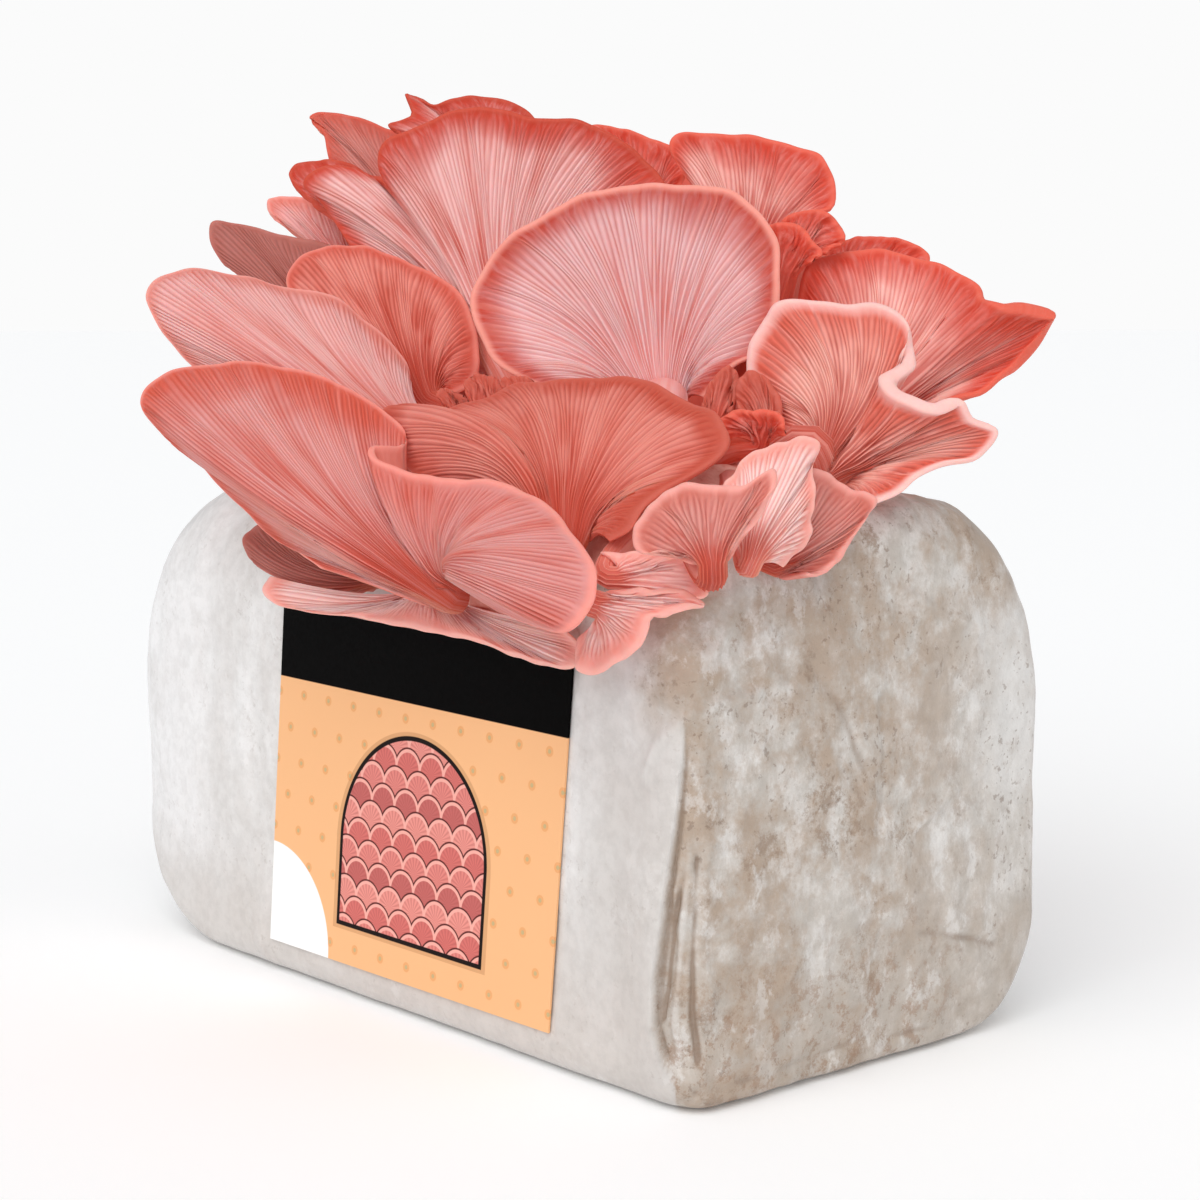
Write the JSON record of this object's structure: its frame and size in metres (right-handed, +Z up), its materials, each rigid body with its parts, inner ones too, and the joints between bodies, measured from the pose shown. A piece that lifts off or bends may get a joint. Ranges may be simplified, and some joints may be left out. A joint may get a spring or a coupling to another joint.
{
  "type": "mushroom grow kit",
  "caption": "Fruiting block in a clear film bag with a paper label, and a fan-shaped cluster of pink oyster mushrooms growing from its top front edge.",
  "frame": {"origin": "centre of the block's resting face, on the floor", "axes": "+X along the block's long side towards the end seen in the picture, -Y out of the label, +Z up"},
  "size_m": [0.2677, 0.1929, 0.237],
  "materials": {
    "mycelium_block": "matt, fibrous white mycelium over brown sawdust",
    "bag_film": "clear film clinging to the block, soft sheen",
    "label_paper": "printed paper, satin",
    "cluster_base_flesh": "matt fungus flesh",
    "mushroom_flesh": "matt pink fungus flesh with fine gills"
  },
  "bodies": {
    "root": {"cluster_base": "cluster_base_flesh", "grow_bag": "bag_film", "label": "label_paper", "mushroom_back_lower_left": "mushroom_flesh", "mushroom_back_lower_right": "mushroom_flesh", "mushroom_back_tall": "mushroom_flesh", "mushroom_back_upper_left": "mushroom_flesh", "mushroom_back_upper_right": "mushroom_flesh", "mushroom_center_tall": "mushroom_flesh", "mushroom_far_right": "mushroom_flesh", "mushroom_front_center": "mushroom_flesh", "mushroom_front_drooping": "mushroom_flesh", "mushroom_front_left_large": "mushroom_flesh", "mushroom_front_lowest": "mushroom_flesh", "mushroom_front_small": "mushroom_flesh", "mushroom_left_inner": "mushroom_flesh", "mushroom_left_lowest": "mushroom_flesh", "mushroom_left_shaded": "mushroom_flesh", "mushroom_left_small_pale": "mushroom_flesh", "mushroom_left_wide": "mushroom_flesh", "mushroom_low_right_inner": "mushroom_flesh", "mushroom_low_right_middle": "mushroom_flesh", "mushroom_low_right_outer": "mushroom_flesh", "mushroom_right_large": "mushroom_flesh", "mushroom_right_sliver": "mushroom_flesh", "mushroom_right_small_lower": "mushroom_flesh", "mushroom_right_small_upper": "mushroom_flesh", "mushroom_top_center": "mushroom_flesh", "mushroom_topmost": "mushroom_flesh", "mushroom_upper_left_large": "mushroom_flesh", "mushroom_upper_left_small": "mushroom_flesh", "mushroom_upper_left_tip": "mushroom_flesh", "mushroom_upper_right": "mushroom_flesh", "mushroom_young_folded": "mushroom_flesh", "mushroom_young_left": "mushroom_flesh", "mushroom_young_low": "mushroom_flesh", "mushroom_young_middle": "mushroom_flesh", "mushroom_young_right": "mushroom_flesh", "mushroom_young_round": "mushroom_flesh", "substrate_block": "mycelium_block"}
  },
  "joints": []
}
